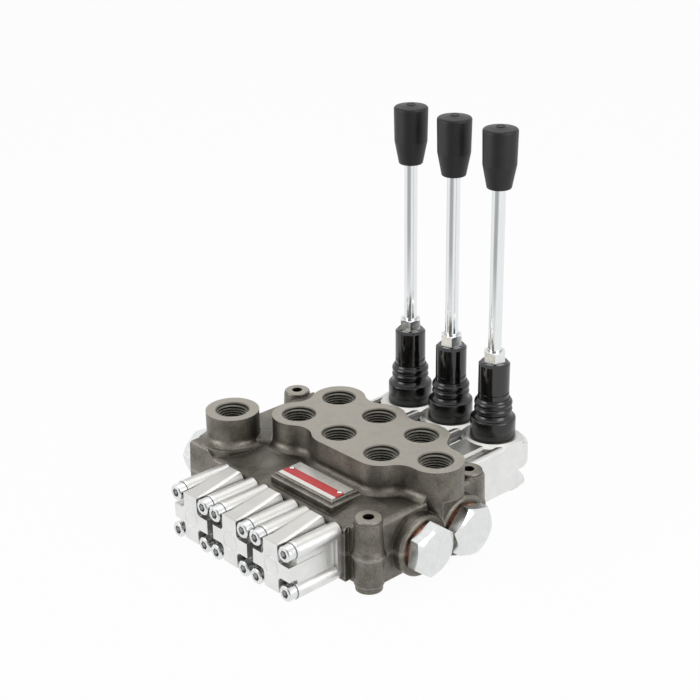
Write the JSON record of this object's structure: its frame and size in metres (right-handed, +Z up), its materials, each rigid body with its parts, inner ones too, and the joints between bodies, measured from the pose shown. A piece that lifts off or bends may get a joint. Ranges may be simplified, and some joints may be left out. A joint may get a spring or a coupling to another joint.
{
  "type": "hydraulic monoblock valve",
  "caption": "Hydraulic monoblock directional valve with spring caps at one end, hand levers in rubber boots at the other, threaded ports on top and plugs at the sides.",
  "frame": {"origin": "midway between the two rear mounting holes, on the plane of the feet", "axes": "+X across the sections towards the two side plugs, +Y towards the levers, +Z up out of the ports"},
  "size_m": [0.1987, 0.2057, 0.2487],
  "materials": {
    "casting": "sand-cast, dark grey, slightly worn on its edges",
    "die_cast": "tumbled die casting, satin",
    "zinc_steel": "bright zinc plate",
    "chrome": "bright chrome",
    "black_steel": "gloss black",
    "rubber": "matt black",
    "knob_plastic": "fine matt grain",
    "copper": "copper sealing washer",
    "bright_steel": "ground and hardened",
    "spring_steel": "plain wire",
    "plate": "plain nameplate"
  },
  "bodies": {
    "valve": {"valve_body": "casting", "cap_screws": "zinc_steel", "cap_washers": "zinc_steel", "box_screws": "zinc_steel", "spool_seals": "rubber", "side_plug_front": "zinc_steel", "side_plug_rear": "zinc_steel", "plug_washers": "copper", "check_poppet": "bright_steel", "check_spring": "spring_steel", "relief_plug": "zinc_steel", "relief_washer": "copper", "relief_poppet": "bright_steel", "relief_spring": "spring_steel", "nameplate": "plate", "nameplate_rivets": "zinc_steel", "spring_cap_1": "die_cast", "lever_box_1": "die_cast", "pivot_pin_1": "bright_steel", "boot_1": "rubber", "spring_seats_1": "bright_steel", "centring_spring_1": "spring_steel", "spring_cap_2": "die_cast", "lever_box_2": "die_cast", "pivot_pin_2": "bright_steel", "boot_2": "rubber", "spring_seats_2": "bright_steel", "centring_spring_2": "spring_steel", "spring_cap_3": "die_cast", "lever_box_3": "die_cast", "pivot_pin_3": "bright_steel", "boot_3": "rubber", "spring_seats_3": "bright_steel", "centring_spring_3": "spring_steel"},
    "lever_1": {"lever_hub_1": "black_steel", "grub_screw_1": "bright_steel", "lever_rod_1": "chrome", "lock_nut_1": "zinc_steel", "knob_1": "knob_plastic"},
    "spool_1": {"spool_1": "bright_steel", "spring_bolt_1": "bright_steel"},
    "lever_2": {"lever_hub_2": "black_steel", "grub_screw_2": "bright_steel", "lever_rod_2": "chrome", "lock_nut_2": "zinc_steel", "knob_2": "knob_plastic"},
    "spool_2": {"spool_2": "bright_steel", "spring_bolt_2": "bright_steel"},
    "lever_3": {"lever_hub_3": "black_steel", "grub_screw_3": "bright_steel", "lever_rod_3": "chrome", "lock_nut_3": "zinc_steel", "knob_3": "knob_plastic"},
    "spool_3": {"spool_3": "bright_steel", "spring_bolt_3": "bright_steel"}
  },
  "joints": [
    {"name": "lever_1_pivot", "type": "hinge", "parent": "valve", "child": "lever_1", "pos_m": [-0.0243, 0.0538, 0.042], "axis": [1, 0, 0], "range_deg": [-16, 16], "stiffness_Nm_per_rad": 6, "deforming": ["boot_1"]},
    {"name": "spool_1_slide", "type": "slide", "parent": "valve", "child": "spool_1", "axis": [0, 1, 0], "range_m": [-0.0053, 0.0053], "deforming": ["centring_spring_1", "spring_seats_1"]},
    {"name": "lever_2_pivot", "type": "hinge", "parent": "valve", "child": "lever_2", "pos_m": [0.0137, 0.0538, 0.042], "axis": [1, 0, 0], "range_deg": [-16, 16], "stiffness_Nm_per_rad": 6, "deforming": ["boot_2"]},
    {"name": "spool_2_slide", "type": "slide", "parent": "valve", "child": "spool_2", "axis": [0, 1, 0], "range_m": [-0.0053, 0.0053], "deforming": ["centring_spring_2", "spring_seats_2"]},
    {"name": "lever_3_pivot", "type": "hinge", "parent": "valve", "child": "lever_3", "pos_m": [0.0517, 0.0538, 0.042], "axis": [1, 0, 0], "range_deg": [-16, 16], "stiffness_Nm_per_rad": 6, "deforming": ["boot_3"]},
    {"name": "spool_3_slide", "type": "slide", "parent": "valve", "child": "spool_3", "axis": [0, 1, 0], "range_m": [-0.0053, 0.0053], "deforming": ["centring_spring_3", "spring_seats_3"]}
  ],
  "couplings": [
    {"joint": "spool_1_slide", "follows": "lever_1_pivot", "m_per_rad": 0.018},
    {"joint": "spool_2_slide", "follows": "lever_2_pivot", "m_per_rad": 0.018},
    {"joint": "spool_3_slide", "follows": "lever_3_pivot", "m_per_rad": 0.018}
  ]
}
